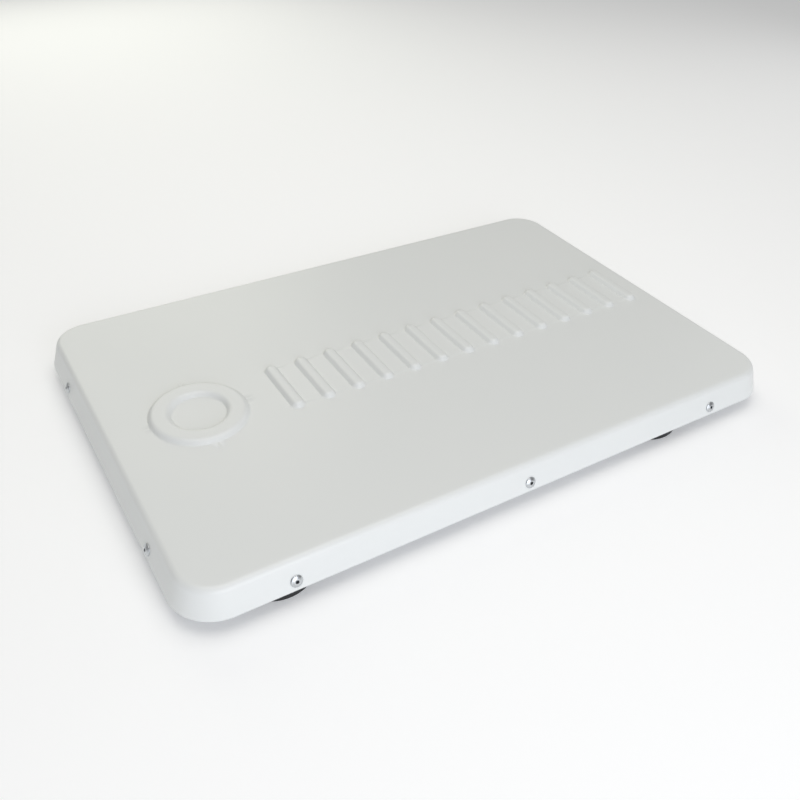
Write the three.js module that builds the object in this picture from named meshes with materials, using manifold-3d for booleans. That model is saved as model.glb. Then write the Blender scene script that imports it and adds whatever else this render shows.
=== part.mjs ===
// Flat rectangular radome housing of a panel antenna, standing on four magnetic feet.
// Millimetres, +Z up, X along the long side, -Y the front long side.
// The origin is under the middle of the housing, on the surface that the feet stand on.
import * as THREE from 'three';
import { mergeVertices } from 'three/addons/utils/BufferGeometryUtils.js';
import Module from 'manifold-3d';

const wasm = await Module();
wasm.setup();

const gap = 0.3; // clearance left between pieces that touch
const deg = Math.PI / 180;

// Cover: a vacuum-formed shell with leaning walls
const coverLength = 610;
const coverWidth = 402;
const coverHeight = 25.5;
const coverWall = 3;
const coverCorner = 38;
const coverEdge = 6; // rounding between the walls and the top
const draft = 16.5 * deg;
const cornerSteps = 6;

// Raised stiffening beads on the top
const beadHeight = 4.2;
const beadFoot = 0.5; // height of the sides' upright foot
const beadSlope = 3; // how far in the sides lean on the way up
const ribWidth = 13;
const ribCount = 14;
const ribPitch = 31;
const ribLength = 70;
const ribFirstX = -134;
const ringX = -216;
const ringInner = 24;
const ringOuter = 44;

// Blind rivets around the side walls
const rivetHeight = 8; // above the cover's rim
const rivetHead = 5.15;
const rivetDome = 2;
const rivetShank = 2.4;
const rivetBore = 1.45;
const rivetHole = 2.75;
const rivetXs = [-218, 0, 218];
const rivetYs = [-116, 116];

// Base tray
const traySheet = 1.5;
const trayFlange = 10.5;

// Magnetic feet
const footRadius = 33;
const footHeight = 8.5;
const footGap = 5; // between a retracted foot and the tray
const footXs = [-221, 168.5];
const footY = 161.5;
const studRadius = 4;

const rimZ = footHeight + footGap; // the cover's rim and the tray's underside
const floorZ = rimZ + traySheet; // the tray's inner floor
const topZ = rimZ + coverHeight;

// Antenna stack, from the heat spreader up
const plateLength = 520;
const plateWidth = 296;
const plateZ = floorZ + 4.5;
const plateSheet = 2;
const boardLength = 484;
const boardWidth = 286;
const boardZ = plateZ + plateSheet + 4;
const boardSheet = 1.6;
const spacerHeight = 4;
const filmSheet = 0.5;

const colours = {
  cover: { color: 0xe9ebec, roughness: 0.35, metalness: 0 },
  seal: { color: 0x2b2c2e, roughness: 0.9, metalness: 0 },
  tray: { color: 0xb9bcbe, roughness: 0.4, metalness: 1 },
  rivet: { color: 0xc9ccce, roughness: 0.2, metalness: 1 },
  rubber: { color: 0x232425, roughness: 0.75, metalness: 0 },
  steel: { color: 0xa9adb1, roughness: 0.3, metalness: 1 },
  magnet: { color: 0x3c3e41, roughness: 0.5, metalness: 0.6 },
  board: { color: 0x1f5b3a, roughness: 0.45, metalness: 0 },
  foam: { color: 0xf2f2ee, roughness: 0.9, metalness: 0 },
  film: { color: 0xb9803c, roughness: 0.4, metalness: 0.2 },
  ceramic: { color: 0xc8b08a, roughness: 0.5, metalness: 0 },
  plastic: { color: 0x26282b, roughness: 0.5, metalness: 0 },
};

// Joining and cutting

function toSolid(geometry) {
  const plain = geometry.clone();
  plain.deleteAttribute('normal');
  plain.deleteAttribute('uv');
  const merged = mergeVertices(plain, 1e-4);
  return new wasm.Manifold(new wasm.Mesh({
    numProp: 3,
    vertProperties: Float32Array.from(merged.attributes.position.array),
    triVerts: Uint32Array.from(merged.index.array),
  }));
}

function toGeometry(solid) {
  const mesh = solid.getMesh();
  const geometry = new THREE.BufferGeometry();
  geometry.setAttribute('position', new THREE.BufferAttribute(mesh.vertProperties, 3));
  geometry.setIndex(new THREE.BufferAttribute(mesh.triVerts, 1));
  geometry.computeVertexNormals();
  return geometry;
}

function cut(solid, geometries) {
  return geometries.reduce((left, tool) => left.subtract(toSolid(tool)), solid);
}

function join(solid, geometries) {
  return geometries.reduce((left, piece) => left.add(toSolid(piece)), solid);
}

// Shapes

// Inset of the leaning wall at a height above the rim, for a surface lying deeper than the outside
function wallInset(height, depth) {
  return depth / Math.cos(draft) + height * Math.tan(draft);
}

// One rounded rectangle, pulled in from the cover's rim outline
function outline(inset, z) {
  const radius = Math.max(coverCorner - inset, 2);
  const centreX = coverLength / 2 - inset - radius;
  const centreY = coverWidth / 2 - inset - radius;
  const points = [];
  for (const quarter of [0, 1, 2, 3]) {
    const signX = quarter === 0 || quarter === 3 ? 1 : -1;
    const signY = quarter < 2 ? 1 : -1;
    for (let step = 0; step <= cornerSteps; step++) {
      const angle = (quarter + step / cornerSteps) * 90 * deg;
      const x = signX * centreX + radius * Math.cos(angle);
      const y = signY * centreY + radius * Math.sin(angle);
      points.push([x, y, z]);
    }
  }
  return points;
}

// A closed solid through a stack of outlines, lowest first
function loft(outlines) {
  const count = outlines[0].length;
  const positions = outlines.flat(2);
  const lowCentre = outlines.length * count;
  const highCentre = lowCentre + 1;
  const middle = (axis) => outlines[0].reduce((sum, point) => sum + point[axis], 0) / count;
  positions.push(middle(0), middle(1), outlines[0][0][2], middle(0), middle(1), outlines.at(-1)[0][2]);
  const index = [];
  for (let i = 0; i < count; i++) {
    const next = (i + 1) % count;
    for (let level = 0; level < outlines.length - 1; level++) {
      const low = level * count;
      const high = low + count;
      index.push(low + i, low + next, high + next, low + i, high + next, high + i);
    }
    const last = (outlines.length - 1) * count;
    index.push(lowCentre, next, i, highCentre, last + i, last + next);
  }
  const geometry = new THREE.BufferGeometry();
  geometry.setAttribute('position', new THREE.Float32BufferAttribute(positions, 3));
  geometry.setIndex(index);
  return geometry;
}

// The leaning-walled block that lies a given depth inside the cover's outer surface
function domedBlock(depth, lowZ, highZ, edge) {
  const outlines = [outline(wallInset(lowZ - rimZ, depth), lowZ)];
  const centreHeight = highZ - rimZ - edge;
  const centreInset = wallInset(centreHeight, depth + edge);
  const edgeSteps = 3;
  for (let step = 0; step <= edgeSteps; step++) {
    const angle = draft + (step / edgeSteps) * (Math.PI / 2 - draft);
    const inset = centreInset - edge * Math.cos(angle);
    outlines.push(outline(inset, rimZ + centreHeight + edge * Math.sin(angle)));
  }
  return loft(outlines);
}

// The same block with sharp edges
function leaningBlock(depth, lowZ, highZ) {
  return loft([
    outline(wallInset(lowZ - rimZ, depth), lowZ),
    outline(wallInset(highZ - rimZ, depth), highZ),
  ]);
}

// A turned piece standing on Z; each pair is a radius and a height
function turned(profile, segments) {
  const points = profile.map(([radius, height]) => new THREE.Vector2(radius, height));
  return new THREE.LatheGeometry(points, segments).rotateX(90 * deg);
}

// A ring with a rectangular section
function ring(inner, outer, lowZ, highZ, segments) {
  return turned([[inner, lowZ], [outer, lowZ], [outer, highZ], [inner, highZ], [inner, lowZ]], segments);
}

function block(sizeX, sizeY, lowZ, highZ, x = 0, y = 0) {
  return new THREE.BoxGeometry(sizeX, sizeY, highZ - lowZ).translate(x, y, (lowZ + highZ) / 2);
}

function rod(radius, lowZ, highZ, x, y, segments = 16) {
  return new THREE.CylinderGeometry(radius, radius, highZ - lowZ, segments)
    .rotateX(90 * deg)
    .translate(x, y, (lowZ + highZ) / 2);
}

// A long shape with round ends, lying along Y
function roundEnded(x, radius, z) {
  const reach = (ribLength - ribWidth) / 2;
  const endSteps = 5;
  const points = [];
  for (const end of [0, 1]) {
    for (let step = 0; step <= endSteps; step++) {
      const angle = (end + step / endSteps) * Math.PI;
      const y = (end === 0 ? reach : -reach) + radius * Math.sin(angle);
      points.push([x + radius * Math.cos(angle), y, z]);
    }
  }
  return points;
}

// The antenna's pieces, each a named mesh

const antenna = new THREE.Group();

function addPiece(name, geometry, finish) {
  const piece = new THREE.Mesh(geometry, new THREE.MeshStandardMaterial(colours[finish]));
  piece.name = name;
  antenna.add(piece);
  return piece;
}

// Where each side rivet meets the cover, and the way it points out of the leaning wall
const rivetPlaces = [];
const rivetInset = rivetHeight * Math.tan(draft);
for (const side of [-1, 1]) {
  for (const x of rivetXs) {
    rivetPlaces.push({ at: [x, side * (coverWidth / 2 - rivetInset)], out: [0, side] });
  }
  for (const y of rivetYs) {
    rivetPlaces.push({ at: [side * (coverLength / 2 - rivetInset), y], out: [side, 0] });
  }
}

// Turns a piece standing on Z so that it stands out of the wall at a rivet's place
function seatInWall(object, { at, out }) {
  const [outX, outY] = out;
  const normal = new THREE.Vector3(outX * Math.cos(draft), outY * Math.cos(draft), Math.sin(draft));
  object.quaternion.setFromUnitVectors(new THREE.Vector3(0, 0, 1), normal);
  object.position.set(...at, rimZ + rivetHeight);
  object.updateMatrix();
  return object;
}

// How deep the rivets' holes are drilled: through the cover's wall, and on through the tray's flange
const coverDrill = 6;
const flangeDrill = 8;

function rivetHoles(depth) {
  return rivetPlaces.map((place) => {
    const tool = seatInWall(new THREE.Object3D(), place);
    return rod(rivetHole, -depth, 4, 0, 0, 12).applyMatrix4(tool.matrix);
  });
}

function makeCover() {
  const innerTop = topZ - coverWall;
  const shell = cut(toSolid(domedBlock(0, rimZ, topZ, coverEdge)), [
    domedBlock(coverWall, rimZ - 1, innerTop, coverEdge - coverWall),
    ...rivetHoles(coverDrill),
  ]);
  const base = topZ - 1;
  const crown = topZ + beadHeight;
  const ringBead = turned([
    [ringInner, base],
    [ringOuter, base],
    [ringOuter, topZ + beadFoot],
    [ringOuter - beadSlope, crown],
    [ringInner + beadSlope, crown],
    [ringInner, topZ + beadFoot],
    [ringInner, base],
  ], 24).translate(ringX, 0, 0);
  const ribs = [];
  for (let i = 0; i < ribCount; i++) {
    const x = ribFirstX + i * ribPitch;
    ribs.push(loft([
      roundEnded(x, ribWidth / 2, base),
      roundEnded(x, ribWidth / 2, topZ + beadFoot),
      roundEnded(x, ribWidth / 2 - beadSlope, crown),
    ]));
  }
  return toGeometry(join(shell, [ringBead, ...ribs]));
}

// Places of what passes through the tray's floor
const footPlaces = footXs.flatMap((x) => [-footY, footY].map((y) => [x, y]));
const rivetNutBarrel = 5.5;
const ventPlace = [-90, -172];
const inletPlace = [60, 168];
const ventRadius = 6;
const inletRadius = 9;
const channelYs = [-75, 75];
const channelX = -34;
const channelLength = 380;
const channelWidth = 16;
const channelDepth = 1.2;

function makeTray() {
  const bend = 1.5;
  const depth = coverWall + gap;
  const outside = loft([
    outline(wallInset(bend, depth) + bend, rimZ),
    outline(wallInset(bend, depth), rimZ + bend),
    outline(wallInset(trayFlange, depth), rimZ + trayFlange),
  ]);
  const inside = leaningBlock(depth + traySheet, floorZ, rimZ + trayFlange + 1);
  const lowered = 2; // difference in length and width between a channel's outside and its groove
  const channels = channelYs.map((y) => (
    block(channelLength, channelWidth, rimZ + 0.5, floorZ + channelDepth, channelX, y)));
  const grooves = channelYs.map((y) => (
    block(channelLength - lowered, channelWidth - lowered, rimZ - 1, rimZ + channelDepth, channelX, y)));
  const holes = [
    ...footPlaces.map(([x, y]) => rod(rivetNutBarrel + gap, rimZ - 1, floorZ + 1, x, y, 16)),
    rod(ventRadius + gap, rimZ - 1, floorZ + 1, ...ventPlace, 16),
    rod(inletRadius + gap, rimZ - 1, floorZ + 1, ...inletPlace, 16),
  ];
  const tray = cut(toSolid(outside), [inside]);
  return toGeometry(cut(join(tray, channels), [...grooves, ...holes, ...rivetHoles(flangeDrill)]));
}

// A compressed foam strip that sits on the flange's edge, against the cover's inner wall
function makeSeal() {
  const low = rimZ + trayFlange + gap;
  const high = low + 3;
  const outside = leaningBlock(coverWall + gap, low, high);
  return toGeometry(cut(toSolid(outside), [leaningBlock(coverWall + gap + 3, low - 1, high + 1)]));
}

// Domed head outside, broken mandrel in its bore, and the set bulge behind the flange
function makeRivet() {
  const grip = coverWall + traySheet + 2 * gap;
  const bulge = 3.1;
  return turned([
    [0, -grip - 2.5],
    [bulge - 1, -grip - 2.5],
    [bulge, -grip - 1.5],
    [bulge, -grip],
    [rivetShank, -grip],
    [rivetShank, gap],
    [rivetHead, gap],
    [rivetHead - 0.85, gap + 1.3],
    [rivetHead / 2, gap + rivetDome],
    [rivetBore, gap + rivetDome],
    [rivetBore, gap],
    [0, gap],
  ], 12);
}

addPiece('radome_cover', makeCover(), 'cover');
addPiece('rim_seal', makeSeal(), 'seal');
addPiece('base_tray', makeTray(), 'tray');

rivetPlaces.forEach((place, i) => {
  const name = `side_rivet_${String(i + 1).padStart(2, '0')}`;
  seatInWall(addPiece(name, makeRivet(), 'rivet'), place);
});

// Feet: a rubber-coated pot magnet on a threaded stud, screwed into a rivet nut in the tray

const studTop = floorZ + 8;
const coatBottom = 1.2;
const coatTop = 0.6;
const coatMouth = 9;
const cupRadius = 31;
const cupSheet = 2.2;
const cupZ = footHeight - coatTop - gap - cupSheet;
const magnetZ = coatBottom + gap;
const magnetHole = 10;
const nutFlange = 8;
const nutFlangeSheet = 1.2;

function makeCoat() {
  const inside = cupRadius + gap;
  const chamfer = 0.8;
  return turned([
    [0, 0],
    [footRadius - chamfer, 0],
    [footRadius, chamfer],
    [footRadius, footHeight - chamfer],
    [footRadius - chamfer, footHeight],
    [coatMouth, footHeight],
    [coatMouth, footHeight - coatTop],
    [inside, footHeight - coatTop],
    [inside, coatBottom],
    [0, coatBottom],
  ], 24);
}

function makeStud() {
  return turned([
    [0, cupZ - 2.6],
    [7, cupZ - 2.6],
    [7, cupZ - gap],
    [studRadius, cupZ - gap],
    [studRadius, studTop - 0.8],
    [studRadius - 0.8, studTop],
    [0, studTop],
  ], 12);
}

function makeJamNut() {
  const across = 13;
  const high = rimZ - nutFlangeSheet - 2 * gap;
  const low = high - 2.6;
  const hexagon = new THREE.CylinderGeometry(across / Math.sqrt(3), across / Math.sqrt(3), high - low, 6)
    .rotateX(90 * deg)
    .translate(0, 0, (low + high) / 2);
  return toGeometry(cut(toSolid(hexagon), [rod(studRadius + gap, low - 1, high + 1, 0, 0, 12)]));
}

function makeRivetNut() {
  const bore = studRadius + gap;
  const low = rimZ - gap;
  const bulge = floorZ + gap;
  return turned([
    [bore, low - nutFlangeSheet],
    [nutFlange, low - nutFlangeSheet],
    [nutFlange, low],
    [rivetNutBarrel, low],
    [rivetNutBarrel, bulge],
    [7.2, bulge],
    [7.2, bulge + 2],
    [rivetNutBarrel, bulge + 3],
    [rivetNutBarrel, floorZ + 10],
    [bore, floorZ + 10],
    [bore, low - nutFlangeSheet],
  ], 16);
}

footPlaces.forEach(([x, y], i) => {
  const tag = i + 1;
  const footPieces = [
    addPiece(`foot_${tag}_rubber_coat`, makeCoat(), 'rubber'),
    addPiece(`foot_${tag}_steel_cup`, ring(studRadius + gap, cupRadius, cupZ, cupZ + cupSheet, 20), 'steel'),
    addPiece(`foot_${tag}_magnet`, ring(magnetHole, cupRadius - 1, magnetZ, cupZ - gap, 20), 'magnet'),
    addPiece(`foot_${tag}_stud`, makeStud(), 'steel'),
    addPiece(`foot_${tag}_jam_nut`, makeJamNut(), 'steel'),
    addPiece(`foot_${tag}_rivet_nut`, makeRivetNut(), 'steel'),
  ];
  footPieces.forEach((piece) => piece.position.set(x, y, 0));
});

// What passes through the tray's floor: a pressure vent and the cable inlet's grommet

function makeVent() {
  return turned([
    [0, rimZ - 4],
    [7.5, rimZ - 4],
    [8.5, rimZ - 3],
    [8.5, rimZ - gap],
    [ventRadius, rimZ - gap],
    [ventRadius, floorZ + gap],
    [ventRadius + 1, floorZ + gap],
    [ventRadius, floorZ + 3],
    [0, floorZ + 3],
  ], 16);
}

function makeInletGrommet() {
  const bore = 3.5;
  return turned([
    [bore, rimZ - 3.5],
    [9, rimZ - 3.5],
    [12, rimZ - 1.5],
    [12, rimZ - gap],
    [inletRadius, rimZ - gap],
    [inletRadius, floorZ + gap],
    [11.5, floorZ + gap],
    [10.5, floorZ + 3],
    [bore, floorZ + 3],
    [bore, rimZ - 3.5],
  ], 16);
}

addPiece('vent_plug', makeVent(), 'plastic').position.set(...ventPlace, 0);
addPiece('inlet_grommet', makeInletGrommet(), 'rubber').position.set(...inletPlace, 0);

// Antenna stack: heat spreader on standoffs, array board, foam spacer and patch film

const standoffX = 251;
const standoffY = 120;
const standoffPlaces = [-standoffX, standoffX].flatMap((x) => [-standoffY, standoffY].map((y) => [x, y]));
const standoffRadius = 4;
const screwShank = 1.5;
const screwHead = 2.8;
const lipWidth = 6; // of the heat spreader's raised edge, which carries the board
const leadX = 60; // where the supply lead passes the lip

function makeHeatSpreader() {
  const top = plateZ + plateSheet;
  const lip = boardZ - gap;
  const frame = cut(toSolid(block(boardLength, boardWidth, plateZ, lip)), [
    block(boardLength - 2 * lipWidth, boardWidth - 2 * lipWidth, top, lip + 1),
  ]);
  const holes = standoffPlaces.map(([x, y]) => rod(screwShank + gap, plateZ - 1, top + 1, x, y, 12));
  const notch = block(24, 20, top, lip + 1, leadX, boardWidth / 2);
  return toGeometry(cut(join(frame, [block(plateLength, plateWidth, plateZ, top)]), [...holes, notch]));
}

addPiece('heat_spreader', makeHeatSpreader(), 'tray');

standoffPlaces.forEach(([x, y], i) => {
  const post = ring(screwShank + gap, standoffRadius, floorZ + gap, plateZ - gap, 12);
  addPiece(`standoff_${i + 1}`, post, 'steel').position.set(x, y, 0);
  const head = plateZ + plateSheet + gap;
  const screw = addPiece(`standoff_screw_${i + 1}`, turned([
    [0, floorZ + 0.8],
    [screwShank, floorZ + 0.8],
    [screwShank, head],
    [screwHead, head],
    [screwHead, head + 1.4],
    [screwHead - 0.6, head + 2],
    [0, head + 2],
  ], 12), 'steel');
  screw.position.set(x, y, 0);
});

const canLow = plateZ + plateSheet + gap;
const canHigh = boardZ - gap;
addPiece('processor_shield', block(86, 62, canLow, canHigh, -120, 30), 'steel');
addPiece('converter_shield', block(64, 44, canLow, canHigh, 60, 60), 'steel');
addPiece('array_board', block(boardLength, boardWidth, boardZ, boardZ + boardSheet), 'board');

const spacerZ = boardZ + boardSheet + gap;
const filmZ = spacerZ + spacerHeight + gap;
addPiece('foam_spacer', block(boardLength - 8, boardWidth - 8, spacerZ, spacerZ + spacerHeight), 'foam');
addPiece('patch_film', block(boardLength, boardWidth, filmZ, filmZ + filmSheet), 'film');

// Supply board along the rear margin, and what is on it

const supplyX = -40;
const supplyY = 171;
const supplyZ = floorZ + 2.4;
const supplyTop = supplyZ + boardSheet + gap;
addPiece('supply_pad', block(120, 26, floorZ + gap, supplyZ - gap, supplyX, supplyY), 'foam');
addPiece('supply_board', block(130, 30, supplyZ, supplyZ + boardSheet, supplyX, supplyY), 'board');
addPiece('supply_inductor', block(14, 14, supplyTop, supplyTop + 7, supplyX - 44, supplyY), 'plastic');
addPiece('supply_connector', block(16, 10, supplyTop, supplyTop + 7, supplyX + 50, supplyY + 4), 'plastic');

// Satellite positioning patch at the right-hand end
addPiece('positioning_patch', block(26, 26, floorZ + gap, floorZ + 9, 276, -40), 'ceramic');

// Lead from the supply connector up to the socket on the underside of the array board
const socketY = 126;
addPiece('board_socket', block(14, 10, canLow, canHigh, leadX, socketY), 'plastic');

function makeLead() {
  const radius = 1.5;
  const midZ = (canLow + canHigh) / 2;
  const leadZ = supplyTop + 3.5;
  const route = new THREE.CatmullRomCurve3([
    new THREE.Vector3(supplyX + 58.3, supplyY + 4, leadZ),
    new THREE.Vector3(supplyX + 66, supplyY + 4, leadZ),
    new THREE.Vector3(supplyX + 80, supplyY - 1, midZ),
    new THREE.Vector3(supplyX + 93, supplyY - 12, midZ),
    new THREE.Vector3(leadX, supplyY - 28, midZ),
    new THREE.Vector3(leadX, socketY + 12, midZ),
    new THREE.Vector3(leadX, socketY + 5.3, midZ),
  ]);
  const section = new THREE.Shape();
  section.absarc(0, 0, radius, 0, 2 * Math.PI);
  return new THREE.ExtrudeGeometry(section, { steps: 14, curveSegments: 4, extrudePath: route });
}

addPiece('supply_lead', makeLead(), 'plastic');

export default antenna;
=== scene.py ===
# Flat panel antenna housing on magnetic feet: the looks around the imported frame.
# Lengths in the dictionaries are millimetres, and angles are degrees.
import bpy
import math
from mathutils import Matrix, Vector


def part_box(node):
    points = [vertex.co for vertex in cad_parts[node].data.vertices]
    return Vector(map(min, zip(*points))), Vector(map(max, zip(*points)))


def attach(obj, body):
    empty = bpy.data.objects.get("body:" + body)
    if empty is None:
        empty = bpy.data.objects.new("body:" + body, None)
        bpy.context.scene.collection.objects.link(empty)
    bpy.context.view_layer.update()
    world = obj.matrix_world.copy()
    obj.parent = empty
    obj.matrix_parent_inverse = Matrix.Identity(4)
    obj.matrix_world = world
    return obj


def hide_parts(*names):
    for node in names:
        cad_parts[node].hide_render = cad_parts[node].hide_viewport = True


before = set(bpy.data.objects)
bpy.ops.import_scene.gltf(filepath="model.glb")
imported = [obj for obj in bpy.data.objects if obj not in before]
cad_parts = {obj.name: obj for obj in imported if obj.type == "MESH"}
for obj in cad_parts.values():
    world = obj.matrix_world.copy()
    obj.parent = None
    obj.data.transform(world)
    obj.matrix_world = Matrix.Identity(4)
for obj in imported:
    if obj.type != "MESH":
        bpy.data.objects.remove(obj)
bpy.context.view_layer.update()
mm = 0.001
coverLow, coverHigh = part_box("radome_cover")
rimZ = coverLow.z / mm  # height of the cover's rim
halfLength = (coverHigh.x - coverLow.x) / 2 / mm
halfWidth = (coverHigh.y - coverLow.y) / 2 / mm
down, up = Vector((0, 0, -1)), Vector((0, 0, 1))


# Nodes, colours and meshes

def linear(hexColour):
    # sRGB hex to the linear colour that the shaders take
    channels = [int(hexColour[i:i + 2], 16) / 255 for i in (1, 3, 5)]
    return [c / 12.92 if c <= 0.04045 else ((c + 0.055) / 1.055) ** 2.4 for c in channels] + [1]


def addNode(tree, kind, settings=None, inputs=None):
    # one node, with its settings, and a value or a link for each named input
    node = tree.nodes.new(kind)
    for name, value in (settings or {}).items():
        setattr(node, name, value)
    for key, value in (inputs or {}).items():
        if isinstance(value, bpy.types.NodeSocket):
            tree.links.new(value, node.inputs[key])
        else:
            node.inputs[key].default_value = value
    return node


def startMaterial(name, **shaderValues):
    # a material with a Principled shader, whose even values are set on its own sockets
    material = bpy.data.materials.new(name)
    material.use_nodes = True
    tree = material.node_tree
    tree.nodes.clear()
    shader = addNode(tree, "ShaderNodeBsdfPrincipled", inputs=shaderValues)
    addNode(tree, "ShaderNodeOutputMaterial", inputs={"Surface": shader.outputs[0]})
    place = addNode(tree, "ShaderNodeTexCoord").outputs["Object"]
    return material, tree, shader, place


def nodeBox(name):
    # a CAD node's lowest and highest corners and its middle, in millimetres
    low, high = (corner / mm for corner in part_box(name))
    return low, high, (low + high) / 2


def nodeHeights(name):
    return [corner.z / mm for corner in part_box(name)]


def atHeight(middle, z):
    return Vector((middle.x, middle.y, z))


def smoothen(mesh, sharpAngle):
    mesh.polygons.foreach_set("use_smooth", [True] * len(mesh.polygons))
    if sharpAngle:
        mesh.set_sharp_from_angle(angle=math.radians(sharpAngle))


def makeObject(name, points, faces, material, sharpAngle=None, edges=()):
    # points in millimetres, in the frame's own place
    mesh = bpy.data.meshes.new(name)
    mesh.from_pydata([Vector(p) * mm for p in points], edges, faces)
    mesh.materials.append(material)
    smoothen(mesh, sharpAngle)
    piece = bpy.data.objects.new(name, mesh)
    bpy.context.scene.collection.objects.link(piece)
    return piece


def settle(piece, body, slot, *nodes):
    # the nodes that a piece stands for, and the body that it moves with; the finish (slot) is not
    # used
    if nodes:
        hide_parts(*nodes)
    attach(piece, body)


def arc(centre, radius, start, end, steps):
    # points of an arc in the plane of radius and height
    angles = [math.radians(start + (end - start) * i / steps) for i in range(steps + 1)]
    return [(centre[0] + radius * math.cos(a), centre[1] + radius * math.sin(a)) for a in angles]


def circlePoint(centre, radius, i, steps, z):
    # one of the points that divide a level circle evenly
    a = 2 * math.pi * i / steps
    return centre[0] + radius * math.cos(a), centre[1] + radius * math.sin(a), z


def turn(profile, steps, centre=(0, 0, 0)):
    # a turned solid from a profile of radius and height; one that starts off the axis is a ring
    points, faces, rows = [], [], []
    for radius, height in profile:
        z = centre[2] + height
        if radius == 0:
            rows.append([len(points)] * steps)
            points.append((centre[0], centre[1], z))
        else:
            rows.append([len(points) + i for i in range(steps)])
            points.extend(circlePoint(centre, radius, i, steps, z) for i in range(steps))
    ring = rows[0][0] != rows[0][1]
    pairs = list(zip(rows, rows[1:])) + ([(rows[-1], rows[0])] if ring else [])
    for low, high in pairs:
        for i in range(steps):
            j = (i + 1) % steps
            corners = list(dict.fromkeys((low[i], low[j], high[j], high[i])))
            if len(corners) > 2:
                faces.append(corners)
    return points, faces


def addBand(faces, upper, lower):
    count = len(upper)
    for k in range(count):
        n = (k + 1) % count
        faces.append((upper[k], lower[k], lower[n], upper[n]))


def loopSkin(section, halfX, halfY, radius, centre=(0, 0), steps=6, closed=False):
    # a rounded rectangle carried through a section of inset and height, capped unless closed
    sharpest = 0.05  # the least corner radius, so that no corner's points meet
    points, faces, loops = [], [], []
    for inset, z in section:
        small = max(radius - inset, sharpest)
        spanX, spanY = halfX - inset - small, halfY - inset - small
        loop = []
        for quarter, (sideX, sideY) in enumerate(((1, 1), (-1, 1), (-1, -1), (1, -1))):
            for i in range(steps + 1):
                a = (quarter + i / steps) * math.pi / 2
                loop.append(len(points))
                points.append((centre[0] + sideX * spanX + small * math.cos(a),
                               centre[1] + sideY * spanY + small * math.sin(a), z))
        loops.append(loop)
    for upper, lower in zip(loops, loops[1:]):
        addBand(faces, upper, lower)
    if closed:
        addBand(faces, loops[-1], loops[0])
    else:
        faces.extend((tuple(loops[0]), tuple(reversed(loops[-1]))))
    return points, faces


def blockSkin(low, high, edge, corner, steps=6):
    # a block between two points, with rounded corners and slightly rounded edges
    middle = (Vector(low) + Vector(high)) / 2
    bevel = edge * 0.3  # the point halfway round an edge lies this far in from both faces
    section = [(edge, high[2]), (bevel, high[2] - bevel), (0, high[2] - edge),
               (0, low[2] + edge), (bevel, low[2] + bevel), (edge, low[2])]
    return loopSkin(section, middle[0] - low[0], middle[1] - low[1], corner, middle, steps)


def joinShapes(*shapes):
    points, faces = [], []
    for morePoints, moreFaces in shapes:
        start = len(points)
        points.extend(morePoints)
        faces.extend(tuple(start + i for i in face) for face in moreFaces)
    return points, faces


def finishTree(piece, sharpAngle=None):
    # turns a piece's Geometry Nodes result into its plain mesh
    bpy.context.view_layer.update()
    evaluated = piece.evaluated_get(bpy.context.evaluated_depsgraph_get())
    mesh = bpy.data.meshes.new_from_object(evaluated)
    piece.modifiers.clear()
    old = piece.data
    piece.data = mesh
    mesh.name = piece.name
    bpy.data.meshes.remove(old)
    if sharpAngle:
        smoothen(mesh, sharpAngle)


def addTree(piece, tree, values):
    # a Geometry Nodes modifier, with its named inputs set by their identifiers
    modifier = piece.modifiers.new(tree.name, "NODES")
    modifier.node_group = tree
    for item in tree.interface.items_tree:
        if item.item_type == "SOCKET" and item.in_out == "INPUT" and item.name in values:
            modifier[item.identifier] = values[item.name]


def startTree(name, sockets):
    # an empty Geometry Nodes tree with named inputs
    tree = bpy.data.node_groups.new(name, "GeometryNodeTree")
    tree.interface.new_socket("Geometry", in_out="INPUT", socket_type="NodeSocketGeometry")
    for label, kind in sockets.items():
        tree.interface.new_socket(label, in_out="INPUT", socket_type="NodeSocket" + kind)
    tree.interface.new_socket("Geometry", in_out="OUTPUT", socket_type="NodeSocketGeometry")
    return tree, addNode(tree, "NodeGroupInput").outputs


def endTree(tree, geometry, material):
    real = addNode(tree, "GeometryNodeRealizeInstances", inputs={"Geometry": geometry})
    painted = addNode(tree, "GeometryNodeSetMaterial", inputs={
        "Geometry": real.outputs[0], "Material": material})
    addNode(tree, "NodeGroupOutput", inputs={"Geometry": painted.outputs[0]})
    return tree


# Materials

noiseRange = 0.3, 0.7  # where nearly all of a noise pattern's values lie


def shadeSurface(tree, shader, pattern, firstColour, lastColour, gloss):
    # a colour and a roughness that follow one pattern, each between two values
    colour = addNode(tree, "ShaderNodeMix", {"data_type": "RGBA"}, {
        "Factor": pattern, 6: linear(firstColour), 7: linear(lastColour)})
    rough = addNode(tree, "ShaderNodeMapRange", inputs={
        "Value": pattern, "From Min": noiseRange[0], "From Max": noiseRange[1],
        "To Min": gloss[0], "To Max": gloss[1]})
    tree.links.new(colour.outputs[2], shader.inputs["Base Color"])
    tree.links.new(rough.outputs[0], shader.inputs["Roughness"])


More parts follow.
